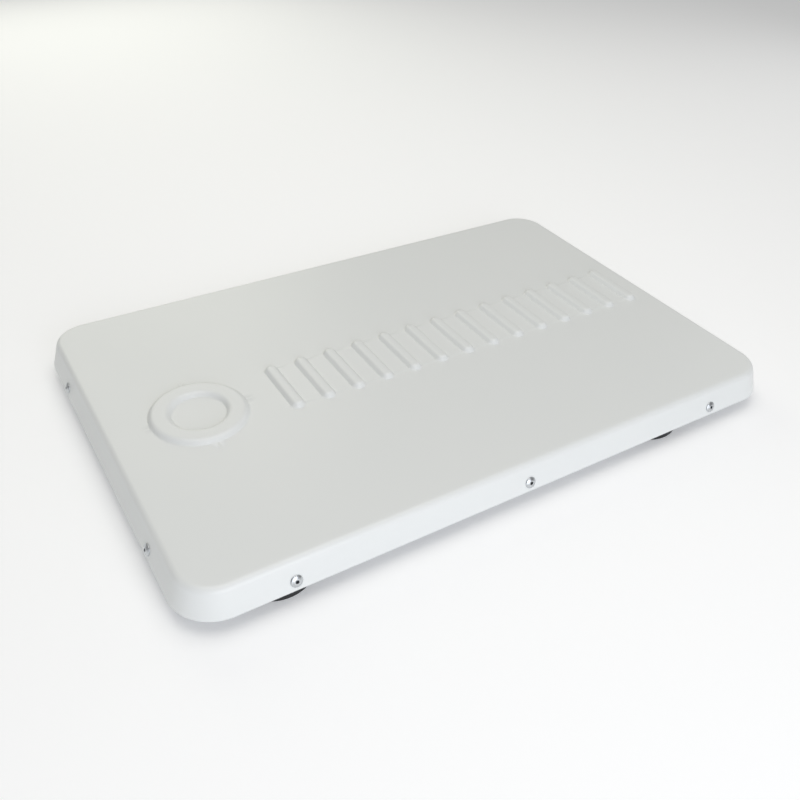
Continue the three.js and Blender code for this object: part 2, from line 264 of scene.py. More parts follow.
def formedAbs():
    # white vacuum-formed ABS: semi-gloss, with the soft ripple that heating leaves in the sheet
    values = {"sheen": "#E7E9E8", "shade": "#E3E6E5", "gloss": (0.31, 0.37), "cloudSize": 140,
              "rippleSize": 46, "rippleDepth": 0.3, "grainSize": 1.6, "grainDepth": 0.02}
    material, tree, shader, place = startMaterial("vacuum-formed ABS", **{
        "Roughness": 0.34, "IOR": 1.53, "Specular IOR Level": 0.5})
    cloud = addNode(tree, "ShaderNodeTexNoise", inputs={
        "Vector": place, "Scale": 1 / (values["cloudSize"] * mm), "Detail": 2}).outputs["Fac"]
    ripple = addNode(tree, "ShaderNodeTexNoise", inputs={
        "Vector": place, "Scale": 1 / (values["rippleSize"] * mm), "Detail": 1}).outputs["Fac"]
    grain = addNode(tree, "ShaderNodeTexNoise", inputs={
        "Vector": place, "Scale": 1 / (values["grainSize"] * mm), "Detail": 3}).outputs["Fac"]
    wave = addNode(tree, "ShaderNodeBump", inputs={
        "Height": ripple, "Strength": 0.35, "Distance": values["rippleDepth"] * mm}).outputs[0]
    skin = addNode(tree, "ShaderNodeBump", inputs={
        "Height": grain, "Strength": 0.25, "Distance": values["grainDepth"] * mm, "Normal": wave})
    shadeSurface(tree, shader, cloud, values["sheen"], values["shade"], values["gloss"])
    tree.links.new(skin.outputs[0], shader.inputs["Normal"])
    return material


def rolledAluminium():
    # mill-finish aluminium sheet: fine lines along the rolling direction, which is X
    values = {"light": "#C9CBCC", "dark": "#B4B7B9", "gloss": (0.3, 0.46), "lineWidth": 0.8,
              "lineLength": 60, "lineDepth": 0.02}
    material, tree, shader, place = startMaterial("mill-finish aluminium sheet", **{
        "Metallic": 1.0, "Roughness": 0.38})
    along, across = 1 / (values["lineLength"] * mm), 1 / (values["lineWidth"] * mm)
    stretch = addNode(tree, "ShaderNodeMapping", inputs={
        "Vector": place, "Scale": (along, across, across)}).outputs[0]
    lines = addNode(tree, "ShaderNodeTexNoise", inputs={
        "Vector": stretch, "Scale": 1, "Detail": 4, "Roughness": 0.6}).outputs["Fac"]
    relief = addNode(tree, "ShaderNodeBump", inputs={
        "Height": lines, "Strength": 0.2, "Distance": values["lineDepth"] * mm})
    shadeSurface(tree, shader, lines, values["dark"], values["light"], values["gloss"])
    tree.links.new(relief.outputs[0], shader.inputs["Normal"])
    return material


def speckledMetal(name, light, dark, roughness, speckSize):
    # a bright metal whose plating or drawing leaves small patches of differing gloss
    material, tree, shader, place = startMaterial(name, **{"Metallic": 1.0, "Roughness": roughness})
    specks = addNode(tree, "ShaderNodeTexNoise", inputs={
        "Vector": place, "Scale": 1 / (speckSize * mm), "Detail": 3}).outputs["Fac"]
    shadeSurface(tree, shader, specks, dark, light, (roughness * 0.75, roughness * 1.3))
    return material


def mouldedSurface(name, light, dark, roughness, grainSize, grainDepth):
    # a moulded rubber or plastic: an even grain from the mould, with larger patches of wear
    cloudSize = 18 * grainSize
    material, tree, shader, place = startMaterial(name, **{"Roughness": roughness, "IOR": 1.5})
    grain = addNode(tree, "ShaderNodeTexNoise", inputs={
        "Vector": place, "Scale": 1 / (grainSize * mm), "Detail": 4}).outputs["Fac"]
    cloud = addNode(tree, "ShaderNodeTexNoise", inputs={
        "Vector": place, "Scale": 1 / (cloudSize * mm), "Detail": 2}).outputs["Fac"]
    relief = addNode(tree, "ShaderNodeBump", inputs={
        "Height": grain, "Strength": 0.5, "Distance": grainDepth * mm})
    shadeSurface(tree, shader, cloud, dark, light, (roughness * 0.88, min(1, roughness * 1.12)))
    tree.links.new(relief.outputs[0], shader.inputs["Normal"])
    return material


print("making the materials")
whiteAbs = formedAbs()
millSheet = rolledAluminium()
rivetMetal = speckledMetal("tumbled rivet aluminium", "#D3D6D8", "#BEC2C5", 0.3, 1.2)
# the mandrel's steel is coloured near black: painted shade for the shade deep in each rivet's bore,
# laid over a real steel mandrel
paintedShadeMandrelSteel = speckledMetal("broken steel mandrel", "#4A4C50", "#2A2B2E", 0.5, 0.6)
zincSteel = speckledMetal("bright zinc-plated steel", "#D3D6DA", "#B5BAC0", 0.26, 1.2)
tinnedSteel = speckledMetal("tinned shield steel", "#CFCFCB", "#B8B8B4", 0.32, 4)
blackRubber = mouldedSurface("moulded black rubber", "#2A2B2C", "#1C1D1E", 0.62, 0.7, 0.05)
foamRubber = mouldedSurface("closed-cell foam rubber", "#333436", "#222325", 0.9, 1.1, 0.25)
blackNylon = mouldedSurface("moulded black nylon", "#2B2C2E", "#202123", 0.5, 0.5, 0.03)
ferrite = mouldedSurface("sintered ferrite", "#47484B", "#303134", 0.55, 0.4, 0.03)
solderMask = mouldedSurface("green solder mask", "#1F6A40", "#195535", 0.38, 6, 0.02)
whiteFoam = mouldedSurface("rigid low-loss foam", "#F3F3EF", "#E8E8E2", 0.92, 1.8, 0.3)
polyimide = mouldedSurface("amber polyimide film", "#C08A44", "#AE7836", 0.3, 12, 0.02)
siliconePad = mouldedSurface("silicone thermal pad", "#93A6B5", "#8496A6", 0.8, 2, 0.1)
blackEpoxy = mouldedSurface("moulded black epoxy", "#26272A", "#1D1E20", 0.55, 0.35, 0.02)
tinnedCopper = speckledMetal("tinned copper foil", "#D8D3CA", "#CFC9BE", 0.34, 1.4)
firedCeramic = mouldedSurface("fired tan ceramic", "#CBB28A", "#BDA37B", 0.55, 0.8, 0.03)


# Cover: one vacuum-formed skin, with drafted walls and raised stiffening beads

cover = {
    "wall": 3, "height": 25.5, "draft": 16.5, "corner": 38, "edge": 6, "edgeSteps": 8,
    "innerSteps": 4, "rimRound": 0.6, "wallRow": 9, "ribCount": 14, "ribPitch": 31,
    "firstRib": -134, "ribLength": 70, "ribWidth": 13, "beadHeight": 4.2, "beadSlope": 4.8,
    "ringSlope": 6.2, "beadRound": 2.7,
    "ringX": -216, "ringRadius": 34, "ringWidth": 20, "ringSteps": 96, "cornerSteps": 8,
    "fineStep": 1.05, "fineMargin": 0.5, "coarseStep": 12,
}
draft = math.radians(cover["draft"])


def wallInset(height, depth):
    # how far the wall lies inside the rim's outline, at a height and at a depth in the wall
    return depth / math.cos(draft) + height * math.tan(draft)


def gridStops(sizes, half, cornerRadius, fineRanges):
    # positions of the grid lines along one side, closer together where the beads rise
    cornerSteps, fineStep, coarseStep = sizes["cornerSteps"], sizes["fineStep"], sizes["coarseStep"]
    straight = half - cornerRadius
    stops = {round(half - cornerRadius * i / cornerSteps, 4) for i in range(cornerSteps + 1)}
    stops |= {-s for s in stops}
    edges = sorted({-straight, straight, *[e for r in fineRanges for e in r]})
    for low, high in zip(edges, edges[1:]):
        middle = (low + high) / 2
        fine = any(a <= middle <= b for a, b in fineRanges)
        count = max(1, round((high - low) / (fineStep if fine else coarseStep)))
        stops |= {round(low + (high - low) * i / count, 4) for i in range(count + 1)}
    return sorted(stops)


def roundedPlace(x, y, halfX, halfY, radius):
    # moves a point of a square-cornered grid so that the grid's corner becomes round
    overX, overY = abs(x) - (halfX - radius), abs(y) - (halfY - radius)
    if overX <= 0 or overY <= 0:
        return x, y
    p, q = overX / radius, overY / radius
    newX = halfX - radius + radius * p * math.sqrt(1 - q * q / 2)
    newY = halfY - radius + radius * q * math.sqrt(1 - p * p / 2)
    return math.copysign(newX, x), math.copysign(newY, y)


def panSkin(stopsX, stopsY, halfX, halfY, radius, highZ, lowZ, wallProfile):
    # a pan: a flat top on a grid, walls through a profile of inset and height, and a lower face
    points, faces = [], []
    columns, rows = len(stopsX), len(stopsY)
    for z in (highZ, lowZ):
        for y in stopsY:
            points.extend((*roundedPlace(x, y, halfX, halfY, radius), z) for x in stopsX)
    lowerGrid = columns * rows
    for row in range(rows - 1):
        for column in range(columns - 1):
            a = row * columns + column
            quad = (a, a + 1, a + columns + 1, a + columns)
            faces.append(quad)
            faces.append(tuple(lowerGrid + i for i in reversed(quad)))
    border = list(range(columns))
    border += [row * columns + columns - 1 for row in range(1, rows)]
    border += [(rows - 1) * columns + column for column in range(columns - 2, -1, -1)]
    border += [row * columns for row in range(rows - 2, 0, -1)]
    outward = []
    for i in border:
        x, y, _ = points[i]
        overX, overY = abs(x) - (halfX - radius), abs(y) - (halfY - radius)
        way = Vector((math.copysign(max(overX, 0), x), math.copysign(max(overY, 0), y)))
        outward.append(way.normalized())
    previous = border
    for inset, z in wallProfile:
        loop = [len(points) + k for k in range(len(border))]
        for i, way in zip(border, outward):
            points.append((points[i][0] - way.x * inset, points[i][1] - way.y * inset, z))
        addBand(faces, previous, loop)
        previous = loop
    addBand(faces, previous, [lowerGrid + i for i in border])
    return points, faces


def beadTree():
    # presses beads of one width out of a skin along guide lines, steep at the foot
    tree, given = startTree("press beads", {
        "Guide": "Object", "Level": "Float", "Half Width": "Float", "Slope": "Float",
        "Height": "Float", "Roundness": "Float", "Material": "Material"})
    place = addNode(tree, "GeometryNodeInputPosition").outputs[0]
    split = addNode(tree, "ShaderNodeSeparateXYZ", inputs={"Vector": place}).outputs
    flat = addNode(tree, "ShaderNodeCombineXYZ", inputs={
        "X": split["X"], "Y": split["Y"], "Z": given["Level"]}).outputs[0]
    guide = addNode(tree, "GeometryNodeObjectInfo", inputs={
        "Object": given["Guide"]}).outputs["Geometry"]
    distance = addNode(tree, "GeometryNodeProximity", {"target_element": "EDGES"}, {
        0: guide, "Source Position": flat}).outputs["Distance"]
    shoulder = addNode(tree, "ShaderNodeMath", {"operation": "SUBTRACT"}, {
        0: given["Half Width"], 1: given["Slope"]}).outputs[0]
    slope = addNode(tree, "ShaderNodeMapRange", inputs={
        "Value": distance, "From Min": shoulder, "From Max": given["Half Width"],
        "To Min": 0, "To Max": 1}).outputs[0]
    drop = addNode(tree, "ShaderNodeMath", {"operation": "POWER"}, {
        0: slope, 1: given["Roundness"]}).outputs[0]
    share = addNode(tree, "ShaderNodeMath", {"operation": "SUBTRACT"}, {0: 1, 1: drop}).outputs[0]
    rise = addNode(tree, "ShaderNodeMath", {"operation": "MULTIPLY"}, {
        0: share, 1: given["Height"]}).outputs[0]
    lift = addNode(tree, "ShaderNodeCombineXYZ", inputs={"Z": rise}).outputs[0]
    raised = addNode(tree, "GeometryNodeSetPosition", inputs={
        "Geometry": given["Geometry"], "Offset": lift}).outputs[0]
    return endTree(tree, raised, given["Material"])


def outwardTurn(tree):
    # the rotation that stands a copy along the direction stored on its point
    outward = addNode(tree, "GeometryNodeInputNamedAttribute", {"data_type": "FLOAT_VECTOR"}, {
        "Name": "outward"}).outputs[0]
    return addNode(tree, "FunctionNodeAlignRotationToVector", {"axis": "Z"}, {
        "Vector": outward}).outputs[0]


def drillTree():
    # cuts a hole at each point of a plan, along the point's own direction and to its own radius
    tree, given = startTree("drill holes", {
        "Plan": "Object", "Length": "Float", "Sides": "Int", "Material": "Material"})
    turned = outwardTurn(tree)
    radius = addNode(tree, "GeometryNodeInputNamedAttribute", {"data_type": "FLOAT"}, {
        "Name": "bore"}).outputs[0]
    plan = addNode(tree, "GeometryNodeObjectInfo", inputs={
        "Object": given["Plan"]}).outputs["Geometry"]
    dots = addNode(tree, "GeometryNodeMeshToPoints", inputs={"Mesh": plan}).outputs[0]
    bit = addNode(tree, "GeometryNodeMeshCylinder", inputs={
        "Vertices": given["Sides"], "Radius": 1, "Depth": given["Length"]}).outputs["Mesh"]
    size = addNode(tree, "ShaderNodeCombineXYZ", inputs={
        "X": radius, "Y": radius, "Z": 1}).outputs[0]
    bits = addNode(tree, "GeometryNodeInstanceOnPoints", inputs={
        "Points": dots, "Instance": bit, "Rotation": turned, "Scale": size}).outputs[0]
    tools = addNode(tree, "GeometryNodeRealizeInstances", inputs={"Geometry": bits}).outputs[0]
    cut = addNode(tree, "GeometryNodeMeshBoolean", {
        "operation": "DIFFERENCE", "solver": "EXACT"}, {
        "Mesh 1": given["Geometry"], "Mesh 2": tools}).outputs[0]
    return endTree(tree, cut, given["Material"])


def copyTree():
    # one copy of a pattern piece at each point, standing along the point's own direction
    tree, given = startTree("set copies", {"Pattern": "Object", "Material": "Material"})
    turned = outwardTurn(tree)
    pattern = addNode(tree, "GeometryNodeObjectInfo", inputs={
        "Object": given["Pattern"]}).outputs["Geometry"]
    dots = addNode(tree, "GeometryNodeMeshToPoints", inputs={
        "Mesh": given["Geometry"]}).outputs[0]
    copies = addNode(tree, "GeometryNodeInstanceOnPoints", inputs={
        "Points": dots, "Instance": pattern, "Rotation": turned}).outputs[0]
    return endTree(tree, copies, given["Material"])


trees = {"beads": beadTree(), "drill": drillTree(), "copies": copyTree()}


def pressBeads(piece, lines, level, halfWidth, slope, height, roundness, material):
    # lines are lists of points in plan; a list whose ends meet is a ring
    points = [(*p, level) for line in lines for p in line]
    edges, start = [], 0
    for line in lines:
        edges += [(start + i, start + i + 1) for i in range(len(line) - 1)]
        start += len(line)
    guide = makeObject(piece.name + "_guide", points, [], material, edges=edges)
    addTree(piece, trees["beads"], {
        "Guide": guide, "Level": level * mm, "Half Width": halfWidth * mm, "Slope": slope * mm,
        "Height": height * mm, "Roundness": roundness, "Material": material})
    finishTree(piece)
    bpy.data.objects.remove(guide)


def planPoints(name, places, ways, radii, material):
    # loose points that carry a direction and a radius each
    plan = makeObject(name, places, [], material)
    outward = plan.data.attributes.new("outward", "FLOAT_VECTOR", "POINT")
    outward.data.foreach_set("vector", [c for way in ways for c in way])
    bore = plan.data.attributes.new("bore", "FLOAT", "POINT")
    bore.data.foreach_set("value", [r * mm for r in radii])
    return plan


def drillHoles(piece, holes, length, sides, material, sharpAngle=30):
    # holes are a place, a direction and a radius each
    plan = planPoints(piece.name + "_plan", *zip(*holes), material)
    addTree(piece, trees["drill"], {
        "Plan": plan, "Length": length * mm, "Sides": sides, "Material": material})
    finishTree(piece, sharpAngle)
    bpy.data.objects.remove(plan)


def setCopies(name, pattern, places, way, material, sharpAngle=30):
    # one piece made of a pattern at many places; way is one direction for all, or a list
    ways = way if isinstance(way, list) else [way] * len(places)
    patternPiece = makeObject(name + "_pattern", *pattern, material, sharpAngle)
    piece = planPoints(name, places, ways, [1] * len(places), material)
    addTree(piece, trees["copies"], {"Pattern": patternPiece, "Material": material})
    finishTree(piece)
    bpy.data.objects.remove(patternPiece)
    return piece


def makeCover():
    edge, wall, small = cover["edge"], cover["wall"], cover["rimRound"]
    highZ = rimZ + cover["height"]
    edgeHeight = cover["height"] - edge  # the centre of the rounded edge, above the rim
    flatInset = wallInset(edgeHeight, edge)
    radius = cover["corner"] - flatInset
    halfX, halfY = halfLength - flatInset, halfWidth - flatInset
    bevel = small * 0.3

    def at(height, depth):
        return wallInset(height, depth) - flatInset, rimZ + height

    outside = arc((0, 0), edge, 90, cover["draft"], cover["edgeSteps"])[1:]
    inside = arc((0, 0), edge - wall, cover["draft"], 90, cover["innerSteps"])[:-1]
    profile = [(-reach, rimZ + edgeHeight + rise) for reach, rise in outside]
    profile += [at(cover["wallRow"], 0), at(small * 2, 0), at(bevel, bevel), at(0, small)]
    profile += [at(0, wall - small), at(bevel, wall - bevel), at(small * 2, wall)]
    profile += [(-reach, rimZ + edgeHeight + rise) for reach, rise in inside]
    ribs = [cover["firstRib"] + i * cover["ribPitch"] for i in range(cover["ribCount"])]
    far = cover["ribWidth"] / 2 + cover["fineMargin"]
    near = cover["ribWidth"] / 2 - cover["beadSlope"]
    fineX = [(x - far, x - near) for x in ribs] + [(x + near, x + far) for x in ribs]
    ringReach = cover["ringRadius"] + cover["ringWidth"] / 2 + cover["fineMargin"]
    fineX.append((cover["ringX"] - ringReach, cover["ringX"] + ringReach))
    stopsX = gridStops(cover, halfX, radius, fineX)
    stopsY = gridStops(cover, halfY, radius, [(-ringReach, ringReach)])
    points, faces = panSkin(stopsX, stopsY, halfX, halfY, radius, highZ, highZ - wall, profile)
    piece = makeObject("radome_cover_skin", points, faces, whiteAbs)
    reach = (cover["ribLength"] - cover["ribWidth"]) / 2
    ribLines = [[(x, -reach), (x, reach)] for x in ribs]
    steps = cover["ringSteps"]
    ring = [circlePoint((cover["ringX"], 0), cover["ringRadius"], i, steps, highZ)[:2]
            for i in range(steps + 1)]
    for lines, width, slope in ((ribLines, cover["ribWidth"], cover["beadSlope"]),
                                ([ring], cover["ringWidth"], cover["ringSlope"])):
        pressBeads(piece, lines, highZ, width / 2, slope, cover["beadHeight"],
                   cover["beadRound"], whiteAbs)
    drillHoles(piece, rivetHoles(), 2 * rivet["grip"], 24, whiteAbs, 40)
    settle(piece, "housing", "formed_abs", "radome_cover")


# Side rivets: domed heads with a flat rim round the mandrel's bore

rivet = {
    "height": 8, "head": 5.15, "dome": 2.0, "rim": 0.35, "flat": 2.55, "bore": 1.45,
    "boreDepth": 1.5, "shank": 2.4, "bulge": 3.1, "grip": 5.1, "tail": 2.5, "steps": 40,
    "seat": 0.05, "hole": 2.75,
    "mandrel": 1.3, "mandrelTip": 0.7, "mandrelSteps": 24, "sideBand": 20,
}
rivetNames = [f"side_rivet_{i:02d}" for i in range(1, 11)]


def rivetSeats():
    # where each rivet meets the leaning wall, and the way that it points
    seats = []
    for name in rivetNames:
        middle = nodeBox(name)[2]
        if abs(middle.y) > halfWidth - rivet["sideBand"]:
            along, side, reach = (middle.x, 0, 0), (0, math.copysign(1, middle.y), 0), halfWidth
        else:
            along, side, reach = (0, middle.y, 0), (math.copysign(1, middle.x), 0, 0), halfLength
        way = Vector(side) * math.cos(draft) + Vector((0, 0, math.sin(draft)))
        reach -= rivet["height"] * math.tan(draft)
        place = Vector(along) + Vector(side) * reach + Vector((0, 0, rimZ + rivet["height"]))
        seats.append((place, way))
    return seats


def rivetHoles():
    return [(seat, way, rivet["hole"]) for seat, way in rivetSeats()]


def rivetPattern():
    # radius and height of the body, from its closed tail, over the head, to the bottom of its bore
    head, dome, rim, flat, bore = (rivet[key] for key in ("head", "dome", "rim", "flat", "bore"))
    bulge, shank, floor = rivet["bulge"], rivet["shank"], dome - rivet["boreDepth"]
    tail = -rivet["grip"]
    end = tail - rivet["tail"]
    sweep = [(head * math.cos(a), rim + (dome - rim) * math.sin(a))
             for a in [math.radians(x) for x in range(0, 51, 10)]]
    return [
        (0, end), (2, end), (bulge, tail - 1.4), (bulge, tail - 0.4), (shank, tail), (shank, 0),
        (head - 0.15, 0), (head, 0.15), *sweep, (flat + 0.25, dome - 0.06), (flat, dome),
        (bore + 0.12, dome), (bore, dome - 0.12), (bore, floor), (0, floor),
    ]


def mandrelPattern():
    # the mandrel's broken end, just above the bottom of the bore
    floor, wide, tip = rivet["dome"] - rivet["boreDepth"], rivet["mandrel"], rivet["mandrelTip"]
    return [(0, floor + 0.02), (wide, floor + 0.02), (wide, floor + 0.5), (tip, floor + 0.62),
            (0, floor + 0.45)]


def makeRivets():
    seats = rivetSeats()
    places = [seat + way * rivet["seat"] for seat, way in seats]
    ways = [way for seat, way in seats]
    head = turn(rivetPattern(), rivet["steps"])
    heads = setCopies("side_rivets", head, places, ways, rivetMetal, 35)
    settle(heads, "housing", "rivet_aluminium", *rivetNames)
    # the mandrel ends carry the near-black painted shade of the rivet bores
    end = turn(mandrelPattern(), rivet["mandrelSteps"])
    mandrels = setCopies("side_rivet_mandrels", end, places, ways, paintedShadeMandrelSteel, 35)
    settle(mandrels, "housing", "zinc_steel")


print("forming the cover")
makeCover()

print("setting the rivets")
makeRivets()


# Feet: rubber-coated pot magnets on threaded studs

foot = {
    "radius": 33, "height": 8.5, "round": 1.1, "mouth": 9, "coatBottom": 1.2, "coatTop": 0.6,
    "cup": 31, "cupHole": 5, "magnetHole": 10, "magnet": 30, "chamfer": 0.4, "steps": 96,
    "boss": 7, "studRadius": 4, "studPlay": 0.05, "pitch": 1.25, "threadDepth": 0.62,
    "rodSteps": 32, "turnRows": 6, "nutAcross": 13, "nutBore": 4.1, "nutSteps": 72,
    "sleeveFlange": 8, "sleeve": 5.5, "sleeveBore": 4.3, "sleeveBulge": 7.2,
}


def coatProfile():
    # two shallow grooves in the sole, a rounded rim, and the cup's space inside
    radius, height, small, mouth = (foot[key] for key in ("radius", "height", "round", "mouth"))
    inside = foot["cup"] + 0.3
    low, high = foot["coatBottom"], height - foot["coatTop"]
    groove = 0.35
    return [
        (0, 0), (10, 0), (10.6, groove), (12.4, groove), (13, 0), (radius - 5, 0),
        (radius - 4.4, groove), (radius - 3.4, groove), (radius - 2.8, 0),
        *arc((radius - small, small), small, -90, 0, 5),
        *arc((radius - small, height - small), small, 0, 90, 5), (mouth + 4, height),
        (mouth + 3.6, height - 0.3), (mouth + 0.5, height - 0.3), (mouth, height - 0.4),
        (mouth, high), (inside, high), (inside, low), (0, low),
    ]


def threadedRod(low, high, centre):
    # a rod whose skin follows a helix, so that the thread is real, and fades out at both ends
    steps, pitch = foot["rodSteps"], foot["pitch"]
    rows = round((high - low) / pitch * foot["turnRows"])
    points, faces = [], []
    for row in range(rows + 1):
        z = low + (high - low) * row / rows
        cut = min(1, row / 4, (rows - row) / 4)
        for i in range(steps):
            share = (z / pitch - i / steps) % 1
            depth = foot["threadDepth"] * abs(2 * share - 1) * cut + 0.5 * (1 - cut)
            radius = foot["studRadius"] - foot["studPlay"] - depth
            points.append(circlePoint(centre, radius, i, steps, z))
    for row in range(rows):
        start, after = row * steps, (row + 1) * steps
        for i in range(steps):
            j = (i + 1) % steps
            faces.append((start + i, start + j, after + j, after + i))
    faces.append(tuple(reversed(range(steps))))
    faces.append(tuple(range(rows * steps, (rows + 1) * steps)))
    return points, faces


def hexNut(low, high, across, bore, centre):
    # a hexagon whose corners are turned off at both ends, and whose bore is countersunk
    steps, sink, turnedSlope = foot["nutSteps"], 0.4, 1.73
    points, faces, rows = [], [], []
    chamfer = [0, 0.12, 0.25, 0.4, 0.6, 0.85]
    for z in [low + c for c in chamfer] + [high - c for c in reversed(chamfer)]:
        turnedRadius = across / 2 * 0.97 + min(z - low, high - z) * turnedSlope
        rows.append([len(points) + i for i in range(steps)])
        for i in range(steps):
            a = 2 * math.pi * i / steps
            flat = across / 2 / math.cos((a % (math.pi / 3)) - math.pi / 6)
            points.append(circlePoint(centre, min(flat, turnedRadius), i, steps, z))
    for z, grow in ((high, sink), (high - sink, 0), (low + sink, 0), (low, sink)):
        rows.append([len(points) + i for i in range(steps)])
        points.extend(circlePoint(centre, bore + grow, i, steps, z) for i in range(steps))
    for lower, upper in zip(rows, rows[1:] + rows[:1]):
        addBand(faces, upper, lower)
    return points, faces


def makeFoot(tag):
    body = f"foot_{tag}"
    low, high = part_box(f"{body}_rubber_coat")
    centre = Vector(((low.x + high.x) / 2 / mm, (low.y + high.y) / 2 / mm, 0))
    studLow, studHigh = nodeHeights(f"{body}_stud")
    cupLow, cupHigh = nodeHeights(f"{body}_steel_cup")
    magnetLow, magnetHigh = nodeHeights(f"{body}_magnet")
    nutLow, nutHigh = nodeHeights(f"{body}_jam_nut")
    sleeveLow, sleeveHigh = nodeHeights(f"{body}_rivet_nut")
    steps, bevel, rim, hole = foot["steps"], foot["chamfer"], foot["cup"], foot["magnetHole"]
    cup = [(foot["cupHole"], cupLow), (rim - bevel, cupLow), (rim, cupLow + bevel),
           (rim, cupHigh - bevel), (rim - bevel, cupHigh), (foot["cupHole"], cupHigh)]
    edge = foot["magnet"]
    magnet = [(hole, magnetLow + bevel), (hole + bevel, magnetLow), (edge - bevel, magnetLow),
              (edge, magnetLow + bevel), (edge, magnetHigh), (hole, magnetHigh)]
    wide, bossHigh = foot["boss"], cupLow - 0.3
    boss = [(0, studLow), (wide - bevel, studLow), (wide, studLow + bevel), (wide, bossHigh),
            (0, bossHigh)]
    flange, barrel, bore = foot["sleeveFlange"], foot["sleeve"], foot["sleeveBore"]
    bulge = foot["sleeveBulge"]
    sleeve = [
        (bore, sleeveLow + 0.3), (bore + 0.3, sleeveLow), (flange - 0.3, sleeveLow),
        (flange, sleeveLow + 0.3), (flange, sleeveLow + 1.0), (flange - 0.2, sleeveLow + 1.2),
        (barrel, sleeveLow + 1.2), (barrel, rimZ + 1.8), (bulge - 0.4, rimZ + 1.9),
        (bulge, rimZ + 2.4), (bulge - 0.2, rimZ + 3.4), (barrel, rimZ + 4.8),
        (barrel, sleeveHigh - 0.4), (barrel - 0.4, sleeveHigh), (bore, sleeveHigh)]
    thread = threadedRod(cupLow - 0.2, studHigh, centre)
    nut = hexNut(nutLow, nutHigh, foot["nutAcross"], foot["nutBore"], centre)
    coat = turn(coatProfile(), steps, centre)
    pieces = [
        ("coat", coat, blackRubber, "coat_rubber", body, "rubber_coat"),
        ("cup", turn(cup, steps, centre), zincSteel, "zinc_steel", body, "steel_cup"),
        ("ring_magnet", turn(magnet, steps, centre), ferrite, "magnet_ceramic", body, "magnet"),
        ("stud_thread", thread, zincSteel, "zinc_steel", body, "stud"),
        ("stud_boss", turn(boss, 48, centre), zincSteel, "zinc_steel", body, "stud"),
        ("locknut", nut, zincSteel, "zinc_steel", "housing", "jam_nut"),
        ("sleeve_nut", turn(sleeve, 64, centre), zincSteel, "zinc_steel", "housing", "rivet_nut"),
    ]
    for name, shape, material, slot, rider, node in pieces:
        piece = makeObject(f"{body}_{name}", *shape, material, 40)
        settle(piece, rider, slot, f"{body}_{node}")


print("making the feet")
for tag in range(1, 5):
    makeFoot(tag)


# Underside: the sheet tray, the seal on its flange, and what passes through its floor

tray = {
    "sheet": 1.5, "depth": 3.3, "flange": 10.5, "lipRound": 0.3, "bend": 2.2, "bendSteps": 6,
    "channelX": -34, "channelY": 75, "channelLength": 380, "channelWidth": 16, "channelSlope": 2.6,
    "channelDepth": 1.2, "channelRound": 1.6, "cornerSteps": 8, "fineStep": 0.8, "fineMargin": 1,
    "coarseStep": 14, "nutHole": 5.8, "ventHole": 6.3, "inletHole": 9.3, "drillLength": 15,
    "sealWidth": 3, "faceGap": 0.3, "ventSlots": 12, "ventSlot": 0.75, "ventSlotHeight": 2.1,
}
footMiddles = [nodeBox(f"foot_{tag}_rubber_coat")[2] for tag in range(1, 5)]
ventMiddle = nodeBox("vent_plug")[2]
inletMiddle = nodeBox("inlet_grommet")[2]


def makeTray():
    sheet, depth, bend, flange = (tray[key] for key in ("sheet", "depth", "bend", "flange"))
    flatInset = wallInset(bend, depth + bend)
    radius = cover["corner"] - flatInset
    halfX, halfY = halfLength - flatInset, halfWidth - flatInset
    lip, steps = tray["lipRound"], tray["bendSteps"]
    outside = arc((0, bend), bend, -90, cover["draft"], steps)[1:]
    inside = arc((0, bend), bend - sheet, cover["draft"], -90, steps)[:-1]
    profile = [(-reach, rimZ + rise) for reach, rise in outside]
    flangeEdge = (flange - lip, 0), (flange, lip), (flange, sheet - lip), (flange - lip, sheet)
    for height, deep in flangeEdge:
        profile.append((wallInset(height, depth + deep) - flatInset, rimZ + height))
    profile += [(-reach, rimZ + rise) for reach, rise in inside]
    width, side, margin = tray["channelWidth"], tray["channelY"], tray["fineMargin"]
    left, right = (tray["channelX"] + way * tray["channelLength"] / 2 for way in (-1, 1))
    fineX = [(left - margin, left + width / 2 + margin),
             (right - width / 2 - margin, right + margin)]
    fineY = [(middle - width / 2 - margin, middle + width / 2 + margin) for middle in (-side, side)]
    stopsX, stopsY = gridStops(tray, halfX, radius, fineX), gridStops(tray, halfY, radius, fineY)
    points, faces = panSkin(stopsX, stopsY, halfX, halfY, radius, rimZ, rimZ + sheet, profile)
    faces = [tuple(reversed(face)) for face in faces]  # this pan opens upwards
    piece = makeObject("base_tray_pan", points, faces, millSheet)
    reach = tray["channelLength"] / 2 - width / 2
    lines = [[(tray["channelX"] - reach, y), (tray["channelX"] + reach, y)] for y in (-side, side)]
    pressBeads(piece, lines, rimZ, width / 2, tray["channelSlope"], tray["channelDepth"],
               tray["channelRound"], millSheet)
    holes = [(atHeight(middle, rimZ), up, tray["nutHole"]) for middle in footMiddles]
    holes.append((atHeight(ventMiddle, rimZ), up, tray["ventHole"]))
    holes.append((atHeight(inletMiddle, rimZ), up, tray["inletHole"]))
    drillHoles(piece, holes + rivetHoles(), tray["drillLength"], 24, millSheet, 30)
    settle(piece, "housing", "sheet_aluminium", "base_tray")


def makeSeal():
    # a foam strip whose faces bulge a little where it is squeezed
    low, high, _ = nodeBox("rim_seal")
    depth = tray["depth"]
    # each row's inset, and its share of the strip's height
    bulge = [(0.5, 0.0), (0.1, 0.16), (0, 0.5), (0.1, 0.84), (0.5, 1.0)]
    rows = [(inset, low.z + (high.z - low.z) * share) for inset, share in bulge]
    outside = [(wallInset(z - rimZ, depth) + inset, z) for inset, z in reversed(rows)]
    inside = [(wallInset(z - rimZ, depth + tray["sealWidth"]) - inset, z) for inset, z in rows]
    section = outside + inside
    shape = loopSkin(section, halfLength, halfWidth, cover["corner"], steps=12, closed=True)
    strip = makeObject("rim_seal_strip", *shape, foamRubber, 50)
    settle(strip, "housing", "foam_seal", "rim_seal")


